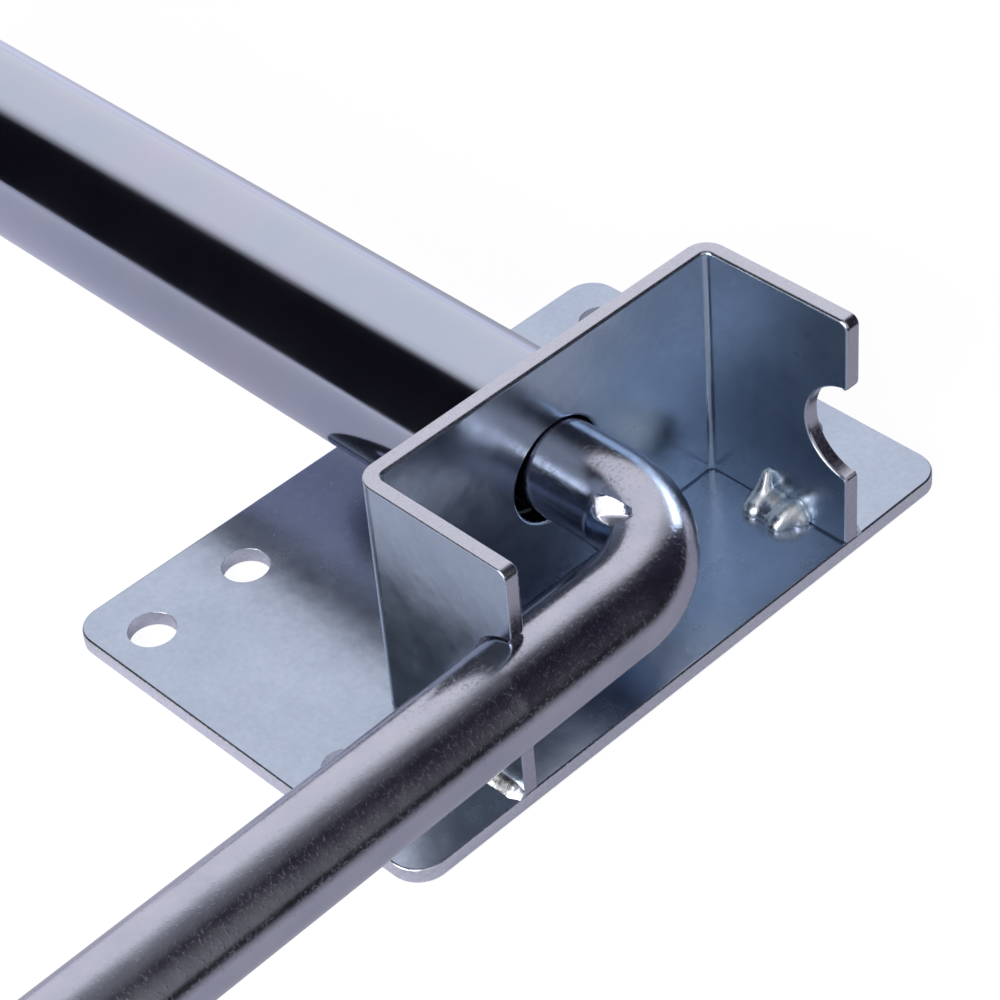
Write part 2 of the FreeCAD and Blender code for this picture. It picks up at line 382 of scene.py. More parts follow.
# %% [markdown]
# The tube is drawn, so its surface is smoother than the sheet's, with very faint lines along it.
# The reflections in it are long and soft, with only slight waves. An anisotropic shader would need
# a direction on every face, while noise stretched fifty times along the tube gives lines at once.

# %% Drawn tube
zinc_tube, tree, shader = new_material("zinc_plated_drawn_tube", 1.0, 0.16)
place = add(tree, "ShaderNodeTexCoord").outputs["Object"]
along = add(tree, "ShaderNodeMapping", {"Vector": place, "Scale": (1.0, 0.02, 1.0)})
drawn = add(tree, "ShaderNodeTexNoise", {
    "Vector": along.outputs["Vector"], "Scale": per_mm(0.7), "Detail": 3.0}).outputs["Fac"]
cloud = add(tree, "ShaderNodeTexNoise", {
    "Vector": place, "Scale": per_mm(30), "Detail": 4.0, "Roughness": 0.6}).outputs["Fac"]
tint = add(tree, "ShaderNodeValToRGB", {"Fac": cloud}, stops=[
    (0.3, colour("#AEB6C9")), (0.55, colour("#B4B9C9")), (0.75, colour("#B9B7CB"))])
tree.links.new(tint.outputs["Color"], shader.inputs["Base Color"])
rough = add(tree, "ShaderNodeMapRange", {
    "Value": cloud, "From Min": 0.3, "From Max": 0.7, "To Min": 0.08, "To Max": 0.13})
tree.links.new(rough.outputs["Result"], shader.inputs["Roughness"])
relief = add(tree, "ShaderNodeBump", {"Height": drawn, "Strength": 0.4, "Distance": 0.01 * mm})
tree.links.new(relief.outputs["Normal"], shader.inputs["Normal"])
print("tube finish", zinc_tube.name)

# %% [markdown]
# The bar is bright drawn steel. Tumbling in the barrel has left it peppered with tiny pits, so its
# dark reflection is full of light specks. The pits are drawn at 0.7 mm so that they show, and
# the bar keeps shallow waves of 5 mm from the drawing. Modelled pits would take far too many
# faces, so both are bumps: the pits' bump feeds the waves' bump, and their slopes add up.

# %% Plated round bar
zinc_bar, tree, shader = new_material("zinc_plated_bright_bar", 1.0, 0.28)
place = add(tree, "ShaderNodeTexCoord").outputs["Object"]
cloud = add(tree, "ShaderNodeTexNoise", {
    "Vector": place, "Scale": per_mm(14), "Detail": 5.0, "Roughness": 0.65}).outputs["Fac"]
tint = add(tree, "ShaderNodeValToRGB", {"Fac": cloud}, stops=[
    (0.3, colour("#AEB0C0")), (0.7, colour("#BDBECB"))])
tree.links.new(tint.outputs["Color"], shader.inputs["Base Color"])
rough = add(tree, "ShaderNodeMapRange", {
    "Value": cloud, "From Min": 0.3, "From Max": 0.7, "To Min": 0.15, "To Max": 0.22})
tree.links.new(rough.outputs["Result"], shader.inputs["Roughness"])
peppered = add(tree, "ShaderNodeTexNoise", {
    "Vector": place, "Scale": per_mm(0.7), "Detail": 3.0, "Roughness": 0.7}).outputs["Fac"]
pit = add(tree, "ShaderNodeMapRange", {
    "Value": peppered, "From Min": 0.56, "From Max": 0.76}).outputs["Result"]
pits = add(tree, "ShaderNodeBump", {
    "Height": pit, "Strength": 0.45, "Distance": 0.05 * mm}).outputs["Normal"]
wave = add(tree, "ShaderNodeTexNoise", {
    "Vector": place, "Scale": per_mm(5), "Detail": 2.0}).outputs["Fac"]
waves = add(tree, "ShaderNodeBump", {
    "Height": wave, "Strength": 0.5, "Distance": 0.1 * mm, "Normal": pits})
tree.links.new(waves.outputs["Normal"], shader.inputs["Normal"])
print("bar finish", zinc_bar.name)

# %% [markdown]
# Weld metal under zinc is bright because it froze from the melt, and its tints are painted paler
# still, as a painted highlight that whitens its lobes. It keeps small scales and spatter of 1.5 mm,
# which the relief gives, and which soften its highlights. Its lumps and ripples change the outline,
# so they are modelled and aren't left to the finish.

# %% Weld metal
# The weld's paler tints are a painted highlight, which whitens its lobes.
zinc_weld_painted_paler = grained(
    "zinc_plated_weld_bead_painted_paler", 1.0, 1.5, ("#CCD2DA", "#E4E8EC"), (0.2, 0.36),
    broken=0.6, span=(0.3, 0.7), relief=(0.5, 0.1))
print("weld finish", zinc_weld_painted_paler.name)

# %% [markdown]
# Inside the tube are the spring, of dark oiled wire, the plated washer and nut, and the nut's blue
# nylon ring. The tube's rear end has a black moulded cap. The oil leaves the wire dark and satin,
# and the cap's skin keeps the fine spark texture of its mould. Each could have nodes of its own,
# but the grained finish gives all four from a few numbers.

# %% Spring wire, fasteners and plastics
spring_wire = grained(
    "oiled_spring_wire", 1.0, 4, ("#5A5652", "#77767A"), (0.25, 0.5))
zinc_fastener = grained(
    "zinc_plated_fastener", 1.0, 3, ("#B0B6C4", "#C8CCD4"), (0.2, 0.42), relief=(0.3, 0.05))
nylon = grained(
    "blue_moulded_nylon", 0.0, 2, ("#7891C8", "#8CA3D4"), (0.45,), detail=3.0, ior=1.53)
black_plastic = grained(
    "black_moulded_polyethylene", 0.0, 0.6, ("#222326", "#2C2D31"), (0.34, 0.52), detail=3.0,
    relief=(0.35, 0.04), ior=1.51)
print("small finishes", spring_wire.name, zinc_fastener.name, nylon.name, black_plastic.name)

# %% [markdown]
# ## Mounting plate
# The plate is a sheared and punched blank with round corners. It starts as a block, its four
# upright edges are bevelled to the corner radius, it is divided so that each hole has a field of
# its own, and round cutters take out the holes. The blank's upper rim is the most rounded, the
# lower one less, and the holes' rims the least, so each gets its own share of the bevel. The
# outline could also be drawn flat with its holes and extruded, but a cutter works like the punch.

# %% Plate blank
nothing_selected()
size = plate_high - plate_low
bpy.ops.mesh.primitive_cube_add(size=1, location=(plate_low + plate_high) / 2, scale=size)
plate = new_piece("plate")
corner_radius = 6.5 * mm
field_borders = (-52 * mm, -27 * mm, 27 * mm, 52 * mm)
edit(plate)
corners = pick(plate, "EDGE", lambda e: abs(e.verts[0].co.z - e.verts[1].co.z) > sheet / 2)
bpy.ops.mesh.bevel(offset=corner_radius, segments=12, affect="EDGES")
for level in field_borders:
    bpy.ops.mesh.select_all(action="SELECT")
    bpy.ops.mesh.bisect(plane_co=(level, 0, 0), plane_no=(1, 0, 0))
bpy.ops.mesh.select_all(action="SELECT")
bpy.ops.mesh.bisect(plane_co=(0, 0, 0), plane_no=(0, 1, 0))
print("corners", corners, "faces", len(bmesh.from_edit_mesh(plate.data).faces))

# %% Bolt holes
hole_radius = 5 * mm
corner_hole_x = 64.5 * mm
inner_hole_x = 39.75 * mm
hole_row_y = 28.5 * mm
hole_places = []
for side in (-1, 1):
    hole_places.append((side * corner_hole_x, -hole_row_y))
    hole_places.append((side * corner_hole_x, hole_row_y))
    hole_places.append((side * inner_hole_x, hole_row_y))
for x, y in hole_places:
    nothing_selected()
    bpy.ops.mesh.primitive_cylinder_add(
        vertices=64, radius=hole_radius, depth=4 * sheet, location=(x, y, sheet / 2))
    cut(plate, new_piece("punch"))
print("holes", len(hole_places), "faces", len(plate.data.polygons))

# %% Plate rims
broad_side, cut_edge, rolled = 0, 1, 2
for polygon in plate.data.polygons:
    polygon.material_index = broad_side if abs(polygon.normal.z) > 0.5 else cut_edge


def on_hole_rim(edge):
    """Whether an edge lies round a hole, not on the blank's outline."""
    point = middle(edge)
    return min(math.hypot(point.x - x, point.y - y) for x, y in hole_places) <= hole_radius + mm


def is_upper(edge):
    """Whether an edge lies in the plate's upper face."""
    return middle(edge).z > plate_high.z - hair


edit(plate)
rims = [
    weigh_edges(plate, 1.0, lambda e: is_upper(e) and not on_hole_rim(e)),
    weigh_edges(plate, 0.15, lambda e: is_upper(e) and on_hole_rim(e)),
    weigh_edges(plate, 0.3, lambda e: middle(e).z < plate_low.z + hair),
]
soften(plate, 0.55 * mm, rolled)
print("outer, hole and lower rim edges", rims)
finish_piece(plate, (zinc_plate, plate_edge_painted_lighter, zinc_rolled),
             "housing", "zinc_sheet", "mounting_plate")

# %% [markdown]
# ## Bracket
# The bracket is one strip of sheet, bent twice. It starts as an upright plane for the back wall.
# The plane's ends are extruded forwards as ears, the two folds are bevelled to the bend's radius,
# and Solidify gives the sheet its thickness. A block could be hollowed out instead, but folding
# is how the real one is made, and it keeps the sheet equally thick round the bends. Cutters make
# the rod's hole and the two notches.

# %% Strip and bends
half = sheet / 2
fold_radius = 3.25 * mm
ear_x = bracket_high.x - half
wall_y = bracket_high.y - half
height = bracket_high.z - bracket_low.z
ear_run = Vector((0, bracket_low.y - wall_y, 0))
nothing_selected()
bpy.ops.mesh.primitive_plane_add(
    size=1, location=(0, wall_y, bracket_low.z + height / 2), rotation=(math.pi / 2, 0, 0))
bpy.context.object.scale = (2 * ear_x, height, 1)
bracket = new_piece("bracket")


def is_wall_end(edge, side):
    """Whether an edge is the upright end of the back wall on that side."""
    return all(v.co.x * side > ear_x - hair and v.co.y > wall_y - hair for v in edge.verts)


edit(bracket)
for side in (-1, 1):
    pick(bracket, "EDGE", lambda e: is_wall_end(e, side))
    bpy.ops.mesh.extrude_edges_move(TRANSFORM_OT_translate={"value": ear_run})
bends = pick(bracket, "EDGE", lambda e: is_wall_end(e, -1) or is_wall_end(e, 1))
bpy.ops.mesh.bevel(offset=fold_radius, segments=12, affect="EDGES")
close_shell()
modify(bracket, "SOLIDIFY", thickness=sheet, offset=0, use_even_offset=True)
print("bends", bends, "faces", len(bracket.data.polygons))

# %% Hole and notches
nothing_selected()
bpy.ops.mesh.primitive_cylinder_add(
    vertices=96, radius=rod_hole_radius, depth=6 * sheet,
    location=(axis_x, wall_y, axis_z), rotation=(math.pi / 2, 0, 0))
cut(bracket, new_piece("hole_cutter"))
nothing_selected()
bpy.ops.mesh.primitive_cylinder_add(
    vertices=96, radius=rod_hole_radius, depth=3 * ear_x,
    location=(0, notch_y, axis_z), rotation=(0, math.pi / 2, 0))
cut(bracket, new_piece("notch_cutter"))
clean(bracket)


def across_ear(edge):
    """Whether an edge runs through an ear's thickness on its front face."""
    a, b = (v.co for v in edge.verts)
    return abs(a.x - b.x) > half and max(a.y, b.y) < bracket_low.y + 10 * hair


def is_notch_lip(edge):
    """Whether an edge is where a notch opens to the front."""
    from_lip = abs(middle(edge).z - axis_z) - rod_hole_radius
    return across_ear(edge) and abs(from_lip) < 0.5 * mm


edit(bracket)
tops = pick(bracket, "EDGE",
            lambda e: across_ear(e) and middle(e).z > bracket_high.z - 10 * hair)
bpy.ops.mesh.bevel(offset=2 * mm, segments=6, affect="EDGES")
lips = pick(bracket, "EDGE", is_notch_lip)
bpy.ops.mesh.bevel(offset=1.2 * mm, segments=5, affect="EDGES")
bpy.ops.object.mode_set(mode="OBJECT")
print("rounded corners", tops, "lips", lips)


# %% [markdown]
# The broad sides of the sheet and its cut edges have different finishes. Their directions can't
# tell them apart everywhere, because the bends and the notches turn through many. So a face
# belongs to a broad side when its middle lies half the sheet's thickness away from the line that
# the strip follows.

# %% Cut edges
def off_middle_line(point):
    """How far a point lies from the line that the middle of the strip follows, seen from above."""
    x, y = abs(point.x), point.y
    past_x, past_y = x - ear_x + fold_radius, y - wall_y + fold_radius
    if past_x > 0 and past_y > 0:
        return abs(math.hypot(past_x, past_y) - fold_radius)
    return min(abs(x - ear_x), abs(y - wall_y))


for polygon in bracket.data.polygons:
    on_side = abs(off_middle_line(polygon.center) - half) < 0.3 * mm
    broad = on_side and abs(polygon.normal.z) < 0.5
    polygon.material_index = broad_side if broad else cut_edge


def inside_bracket(edge):
    """Whether a cut edge is on the bracket's inner side."""
    point = middle(edge)
    return abs(point.x) < ear_x - 0.2 * mm and point.y < wall_y - 0.2 * mm


edit(bracket)
rims = [
    weigh_edges(bracket, 1.0, inside_bracket),
    weigh_edges(bracket, 0.45, lambda e: not inside_bracket(e)),
]
soften(bracket, 0.75 * mm, rolled)
print("inner and outer cut edges", rims)
finish_piece(bracket, (zinc_bracket, bracket_edge, zinc_rolled),
             "housing", "zinc_sheet", "u_bracket")

# %% [markdown]
# ## Tube
# The tube is a circle, extruded to length and given its wall with Solidify. A cylinder with a
# thinner one cut out would do too, but this way its wall is even by itself. Its cut ends are
# slightly rounded.

# %% Spring tube
tube_radius = (tube_high.x - tube_low.x) / 2
nothing_selected()
bpy.ops.mesh.primitive_circle_add(
    vertices=128, radius=tube_radius, location=(axis_x, tube_low.y, axis_z),
    rotation=(math.pi / 2, 0, 0))
tube = new_piece("tube")
edit(tube)
bpy.ops.mesh.select_all(action="SELECT")
length = tube_high.y - tube_low.y
bpy.ops.mesh.extrude_edges_move(TRANSFORM_OT_translate={"value": (0, length, 0)})
close_shell()
stave = tube.data.polygons[0]
if stave.normal.dot(stave.center - Vector((axis_x, 0, axis_z))) < 0:
    tube.data.flip_normals()
modify(tube, "SOLIDIFY", thickness=2 * mm, offset=-1)
modify(tube, "BEVEL", limit_method="ANGLE", angle_limit=sharp, width=0.3 * mm, segments=3)
bpy.ops.object.shade_smooth()
modify(tube, "WEIGHTED_NORMAL", mode="FACE_AREA", weight=100)
finish_piece(tube, (zinc_tube,), "housing", "zinc_tube", "spring_tube")

# %% [markdown]
# ## Locking rod
# The rod is one round bar. A curve could carry a round section round the corner, but its rings
# are out of reach until it becomes a mesh. So a circle is extruded along the shank, spun round the
# bend and extruded along the arm, where a shallow ring mark runs round the bar. The arm points
# left with a slight splay and lift, so the bend is a little less than square.

# %% Where the bend is
bar_radius = 10 * mm
bend_radius = 22.8 * mm
arm_length = 200 * mm
splay, rising = math.radians(1.1), math.radians(0.1)
level = math.cos(splay)
forward = Vector((0, -1, 0))
arm_way = Vector((-level * math.cos(rising), -math.sin(splay), level * math.sin(rising)))
corner_y = notch_y + 0.15 * mm + (ear_x + rod_x) * math.tan(splay)
corner = Vector((rod_x, corner_y, rod_z))
turn = forward.angle(arm_way)
setback = bend_radius * math.tan(turn / 2)
bend_axis = forward.cross(arm_way).normalized()
bend_start = corner - forward * setback
bend_centre = bend_start + bend_axis.cross(forward) * bend_radius
bend_out = (bend_start - bend_centre).normalized()
print("turn", round(math.degrees(turn), 2), "centre", [round(v / mm, 2) for v in bend_centre])

# %% Shank, bend and arm
nothing_selected()
shoulder_y = washer_low.y
bpy.ops.mesh.primitive_circle_add(
    vertices=160, radius=bar_radius, location=(rod_x, shoulder_y, rod_z),
    rotation=(math.pi / 2, 0, 0))
rod = new_piece("rod")
shank = forward * (shoulder_y - bend_start.y)
edit(rod)
bpy.ops.mesh.select_all(action="SELECT")
bpy.ops.mesh.extrude_edges_move(TRANSFORM_OT_translate={"value": shank})
bpy.ops.mesh.spin(steps=90, angle=turn, center=bend_centre, axis=-bend_axis)
chamfer = 1.5 * mm
ring_mark = 53 * mm - setback
mark_width = 0.8 * mm
mark_swell = 1.005
beyond = arm_length - setback - chamfer - ring_mark - 2 * mark_width
stretches = [ring_mark / 4] * 4 + [mark_width] * 2 + [beyond / 16] * 16
swells = {4: mark_swell, 5: 1 / mark_swell}
gone = setback
for number, stretch in enumerate(stretches):
    bpy.ops.mesh.extrude_edges_move(TRANSFORM_OT_translate={"value": arm_way * stretch})
    gone += stretch
    if number in swells:
        bpy.ops.transform.resize(
            value=(swells[number],) * 3, center_override=corner + arm_way * gone)
bpy.ops.mesh.extrude_edges_move(TRANSFORM_OT_translate={"value": arm_way * chamfer})
share = (bar_radius - chamfer) / bar_radius
bpy.ops.transform.resize(value=(share,) * 3, center_override=corner + arm_way * arm_length)
bpy.ops.mesh.edge_face_add()
bpy.ops.object.mode_set(mode="OBJECT")
reach = max((v.co - corner).dot(arm_way) for v in rod.data.vertices)
print("arm reach", round(reach / mm, 2), "mm")


# %% [markdown]
# The real bar was bent tightly in a press: the outside follows a wide arc, while the inside folded
# into a crease where shank and arm meet. So after the spin, the inner part of each ring is moved
# out to where the straight bars would be. The shank's side first dips by a quarter of a
# millimetre, then swells along a groove, and dives behind the arm in a bright slanting facet that
# ends at a valley. It could be sculpted by hand, but a rule gives the same form on every run.
# Angles round the bar are counted from its outer side, in degrees.

# %% Crease
def smooth_step(low, high, value):
    """0 below low, 1 above high and a soft change between them."""
    t = min(1.0, max(0.0, (value - low) / (high - low)))
    return t * t * (3 - 2 * t)


facet_normal = Vector((-0.69, -0.485, 0.53)).normalized()
facet_foot = Vector((rod_x - 7.1 * mm, corner.y + 17.9 * mm, rod_z + 7.2 * mm))
facet_reach = 20.4 * mm
valley_degrees = 47
dip_degrees = 15.5
dip_depth = 0.25 * mm
groove_degrees = 21
groove_swell = 0.33


def creased(place):
    """The new place of one of the bend's vertices."""
    away = place - bend_centre
    flat = away - bend_axis * away.dot(bend_axis)
    outward = flat.normalized()
    rise = -away.dot(bend_axis)
    turned = flat.angle(bend_out)
    degrees = math.degrees(turned)
    around = abs(math.degrees(math.atan2(rise, flat.length - bend_radius)))
    # The inner side folds out to where the straight bars would be, and dips at the ring's edge
    before_valley = 1 - smooth_step(valley_degrees - 0.5, valley_degrees + 2.2, degrees)
    straight = flat.length / math.cos(min(turned, turn - turned))
    fold = before_valley * smooth_step(125, 150, around)
    fold += (1 - before_valley) * smooth_step(125, 165, around)
    out = flat.length + fold * (straight - flat.length)
    inner = smooth_step(112, 140, around)
    out -= inner * dip_depth * math.exp(-((degrees - dip_degrees) / 3) ** 2)
    # The facet lies between the bar's middle and a roof line that climbs towards the valley
    now = bend_centre + outward * out - bend_axis * rise
    roof = (7.2 + 2.3 * min(1.0, max(0.0, (degrees - 16) / 31))) * mm
    to_facet = facet_normal.dot(now - facet_foot) / -facet_normal.dot(outward)
    to_facet *= smooth_step(2.8, 4.3, rise / mm) * (1 - smooth_step(-0.2, 0.6, (rise - roof) / mm))
    groove = groove_swell * out * math.radians(max(0, degrees - groove_degrees)) * inner
    if flat.length < bend_radius:
        out += max(0, groove, min(to_facet, facet_reach - out)) * before_valley
    return bend_centre + outward * out - bend_axis * rise


moved = 0
for vertex in rod.data.vertices:
    past_shank = vertex.co.y < bend_start.y - hair
    before_arm = (vertex.co - corner).dot(arm_way) < setback - hair
    if past_shank and before_arm:
        vertex.co = creased(vertex.co)
        moved += 1
print("vertices in the bend", moved)

# %% [markdown]
# The rod's inner end is turned down and threaded for the nut. The thread is a real helical ridge
# of 2 mm pitch. The Screw modifier could wind a ridge, but that would have to be fused to the bar.
# So rings of vertices are moved in and out by how far along the helix they are.

# %% Thread
thread_radius = 8 * mm
thread_end_y = 215.5 * mm
pitch = 2 * mm
thread_depth = 1.2 * mm
rows = 84
share = thread_radius / bar_radius
edit(rod)
pick(rod, "VERT", lambda v: abs(v.co.y - shoulder_y) < hair)
bpy.ops.mesh.select_mode(type="EDGE")
bpy.ops.mesh.extrude_edges_move(TRANSFORM_OT_translate={"value": (0, 0, 0)})
bpy.ops.transform.resize(value=(share,) * 3, center_override=(rod_x, shoulder_y, rod_z))
step = (thread_end_y - shoulder_y) / rows
for _ in range(rows):
    bpy.ops.mesh.extrude_edges_move(TRANSFORM_OT_translate={"value": (0, step, 0)})
bpy.ops.mesh.edge_face_add()
close_shell(merge=hair / 10)
for vertex in rod.data.vertices:
    along = vertex.co.y - shoulder_y
    if along < step / 2:
        continue
    out = Vector((vertex.co.x - rod_x, 0, vertex.co.z - rod_z))
    if out.length < thread_radius / 2:
        continue
    phase = (along / pitch + math.atan2(out.z, out.x) / (2 * math.pi)) % 1
    depth = thread_depth * abs(2 * phase - 1)
    end = thread_depth * smooth_step(-1.2, 0, (vertex.co.y - thread_end_y) / mm)
    fade = smooth_step(0.3, 1.5, along / mm)
    lowered = out.normalized() * (thread_radius - max(depth * fade, end))
    vertex.co.x = rod_x + lowered.x
    vertex.co.z = rod_z + lowered.z
take(rod)
bpy.ops.object.shade_smooth_by_angle(angle=math.radians(35))
finish_piece(rod, (zinc_bar,), "draw_rod", "zinc_bar", "locking_rod")

# %% [markdown]
# ## Welds
# The tube is welded to the back of the bracket all round. A bead is a row of frozen ripples, one
# for each time that the pool moved on, about 1.7 mm apart. Its section is spun round the tube and
# the ripples are pressed into the ring. A bump could draw them, but the outline would stay smooth.

# %% Ring weld
leg = 3.5 * mm
wall_back = bracket_high.y
outline = [(-0.06, 0.0), (-0.06, 1.0), (0.22, 0.93), (0.47, 0.77), (0.68, 0.57), (0.85, 0.33),
           (0.96, 0.12), (1.0, 0.0), (0.5, -0.01)]
nothing_selected()
bpy.ops.mesh.primitive_circle_add(
    vertices=len(outline), radius=mm, location=(axis_x, wall_back, axis_z))
ring = new_piece("tube_weld")
for vertex, (out, back) in zip(ring.data.vertices, outline):
    vertex.co = (axis_x + tube_radius + out * leg, wall_back + back * leg, axis_z)
edit(ring)
bpy.ops.mesh.select_all(action="SELECT")
bpy.ops.mesh.spin(
    steps=480, angle=2 * math.pi, center=(axis_x, wall_back, axis_z), axis=(0, 1, 0))
close_shell(merge=hair)
ripples = 76
ripple_height = 0.05 * mm
lump_height = 0.3 * mm
for vertex in ring.data.vertices:
    out = Vector((vertex.co.x - axis_x, 0, vertex.co.z - axis_z))
    away = out.length - tube_radius
    back = vertex.co.y - wall_back
    if min(away, back) < 0.1 * mm:
        continue
    angle = math.atan2(out.z, out.x)
    across = (back - away) / leg
    phase = ripples * angle / (2 * math.pi) - 1.1 * across ** 2
    lump = noise.noise(Vector((math.cos(angle), math.sin(angle), across)) * 3)
    swell = ripple_height * math.sin(2 * math.pi * phase) + lump_height * lump
    vertex.co += (out.normalized() + Vector((0, 1, 0))) * swell
take(ring)
bpy.ops.object.shade_smooth()
finish_piece(ring, (zinc_weld_painted_paler,), "housing", "weld_metal", "tube_fillet_weld")

# %% [markdown]
# Inside each ear sits one big tack weld: two lobes of metal that ran together, one climbing the
# ear, with a crater between them. Metaballs would run together by themselves, but their size is
# hard to foresee. So overlapping balls are fused with a voxel remesh, smoothed like melted metal,
# and cut flat with blocks at the plate and the ear. Each ball has its distance from the ear, its
# place along it, its height and its radius, in millimetres.

# %% Tack welds
lobe_balls = [
    (0.2, 3.6, 11.0, 1.3), (0.8, 3.5, 9.8, 1.6), (1.4, 3.4, 8.4, 1.9), (2.1, 3.4, 7.1, 2.1),
    (2.9, 3.5, 6.0, 2.3), (3.8, 3.6, 5.0, 2.5), (4.6, 3.8, 4.2, 2.4), (0.4, -4.2, 6.6, 2.2),
    (1.4, -4.0, 6.4, 2.3), (2.5, -3.6, 5.7, 2.5), (3.6, -3.2, 4.9, 2.6), (4.6, -2.8, 4.0, 2.4),
    (1.0, 0.4, 4.4, 4.2), (2.4, 0.6, 4.0, 3.4), (2.6, 0.6, 6.6, 1.3), (0.6, -5.4, 4.4, 2.4),
]
weld_y = bracket_low.y + 17 * mm
block = 40 * mm
tacks = []
for side in (-1, 1):
    face_x = side * (bracket_high.x - sheet)
    balls = []
    for inward, y, z, radius in lobe_balls:
        nothing_selected()
        bpy.ops.mesh.primitive_ico_sphere_add(
            subdivisions=3, radius=radius * mm,
            location=(face_x - side * inward * mm, weld_y + y * mm, z * mm))
        balls.append(new_piece("ball"))
    lump = joined(balls, "lump")
    modify(lump, "REMESH", mode="VOXEL", voxel_size=0.35 * mm)
    modify(lump, "SMOOTH", factor=0.5, iterations=30)
    for x, z in ((face_x, plate_high.z - block / 2), (face_x + side * block / 2, plate_high.z)):
        nothing_selected()
        bpy.ops.mesh.primitive_cube_add(size=block, location=(x, weld_y, z))
        cut(lump, new_piece("block"))
    tacks.append(lump)
tack = joined(tacks, "tack_welds")
bpy.ops.object.shade_smooth_by_angle(angle=sharp)
finish_piece(tack, (zinc_weld_painted_paler,), "housing", "weld_metal", "inner_tack_welds")

# %% [markdown]
# Outside each ear a short fillet runs back from the front corner. It is a slim bead with a hollow
# face and low ripples. It could be one long prism, but its ripples need rings to sit on. So a
# small section is extruded step by step and swollen at each step.

# %% Fillet welds at the feet
bead_leg = 2.4 * mm
bead_length = 21 * mm
steps = 60
stride = (0, bead_length / steps, 0)
section = [(-0.02, -0.02), (1.0, -0.02), (0.93, 0.17), (0.66, 0.42), (0.42, 0.66), (0.17, 0.93),
           (-0.02, 1.0)]
beads = []
for side in (-1, 1):
    foot = Vector((side * bracket_high.x, bracket_low.y, plate_high.z))
    nothing_selected()
    bpy.ops.mesh.primitive_circle_add(
        vertices=len(section), radius=mm, location=foot, fill_type="NGON")
    bead = new_piece("bead")
    for vertex, (out, up) in zip(bead.data.vertices, section):
        vertex.co = foot + Vector((side * out, 0, up)) * bead_leg
    edit(bead)
    bpy.ops.mesh.select_mode(type="FACE")
    bpy.ops.mesh.select_all(action="SELECT")
    for _ in range(steps):
        bpy.ops.mesh.extrude_region_move(TRANSFORM_OT_translate={"value": stride})
    close_shell()
    for vertex in bead.data.vertices:
        from_foot = vertex.co - foot
        along = from_foot.y / bead_length
        out = Vector((from_foot.x, 0, from_foot.z))
        ends = smooth_step(-0.02, 0.12, along) * (1 - smooth_step(0.86, 1.04, along))
        swell = 0.55 + 0.45 * ends
        swell += 0.06 * noise.noise(Vector((along * 6, side, out.z / mm)))
        vertex.co = foot + Vector((0, from_foot.y, 0)) + out * swell
    beads.append(bead)
fillets = joined(beads, "foot_welds")
bpy.ops.object.shade_smooth_by_angle(angle=math.radians(45))
finish_piece(fillets, (zinc_weld_painted_paler,), "housing", "weld_metal", "outer_fillet_welds")

# %% [markdown]
# ## Cap and spring
# The cap is turned from its half section: a low dome with a small dimple at the moulding gate, a
# round rim, and a hollow plug inside the tube. A cylinder could be inset and extruded ring by
# ring, but one section shows the whole shape at a glance. It gives each corner's distance from the
# axis and from the tube's end, in millimetres.

# %% Tube end cap
cap_low, cap_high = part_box("tube_end_cap")
seat_y = tube_high.y
profile = [
    (0.0, 1.9), (1.2, 1.9), (1.8, 2.3), (6.0, 2.5), (12.0, 2.35), (16.0, 2.1), (18.0, 1.75),
    (18.75, 1.2), (19.0, 0.6), (19.0, 0.12), (18.9, 0.0), (16.95, 0.0), (16.95, -8.3),
    (16.7, -9.0), (15.1, -9.0), (14.95, -8.8), (14.95, 0.0), (0.0, 0.0),
]
nothing_selected()
bpy.ops.mesh.primitive_circle_add(
    vertices=len(profile), radius=mm, location=(axis_x, seat_y, axis_z))
cap = new_piece("end_cap")
for vertex, (out, back) in zip(cap.data.vertices, profile):
    vertex.co = (axis_x + out * mm, seat_y + back * mm, axis_z)
edit(cap)
pick(cap, "EDGE", lambda e: all(abs(v.co.x - axis_x) < hair / 10 for v in e.verts))
bpy.ops.mesh.delete(type="EDGE")
bpy.ops.mesh.select_all(action="SELECT")
bpy.ops.mesh.spin(steps=96, angle=2 * math.pi, center=(axis_x, seat_y, axis_z), axis=(0, 1, 0))
close_shell(merge=hair)
bpy.ops.object.shade_smooth_by_angle(angle=math.radians(40))
finish_piece(cap, (black_plastic,), "housing", "cap_plastic", "tube_end_cap")
print("plug", round((seat_y - cap_low.y) / mm, 2), "dome", round((cap_high.y - seat_y) / mm, 2))

# %% [markdown]
# The spring is one circle of wire, wound by the Screw modifier about the vertical axis and then
# laid along the tube. A helical curve could carry the wire too, but its points would have to be
# worked out, while the modifier asks only for the turns and the climb. It gets a mesh of its own.

# %% Compression spring
spring_low, spring_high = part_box("compression_spring")
wire_radius = 1.5 * mm
coil_radius = 14 * mm
turns = 24
coil_x = (spring_low.x + spring_high.x) / 2
start_y = spring_low.y + wire_radius
climb = spring_high.y - wire_radius - start_y
nothing_selected()
bpy.ops.mesh.primitive_circle_add(
    vertices=12, radius=wire_radius, location=(coil_radius, 0, 0), rotation=(math.pi / 2, 0, 0))
spring = new_piece("spring")
modify(spring, "SCREW", axis="Z", angle=2 * math.pi * turns, screw_offset=climb,
       steps=24 * turns, render_steps=24 * turns, use_merge_vertices=False)
lay_down = Matrix.Rotation(-math.pi / 2, 4, "X")
spring.data.transform(Matrix.Translation((coil_x, start_y, axis_z)) @ lay_down)
edit(spring)
pick(spring, "EDGE", lambda e: e.is_boundary)
bpy.ops.mesh.fill()
close_shell()
bpy.ops.object.shade_smooth_by_angle(angle=sharp)
finish_piece(spring, (spring_wire,), "housing", "spring_steel", "compression_spring")
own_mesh(spring)

# %% [markdown]
# The washer, the nut and its ring are plain turned and moulded shapes that the solids already give
# exactly, so they stay and only get their finishes.

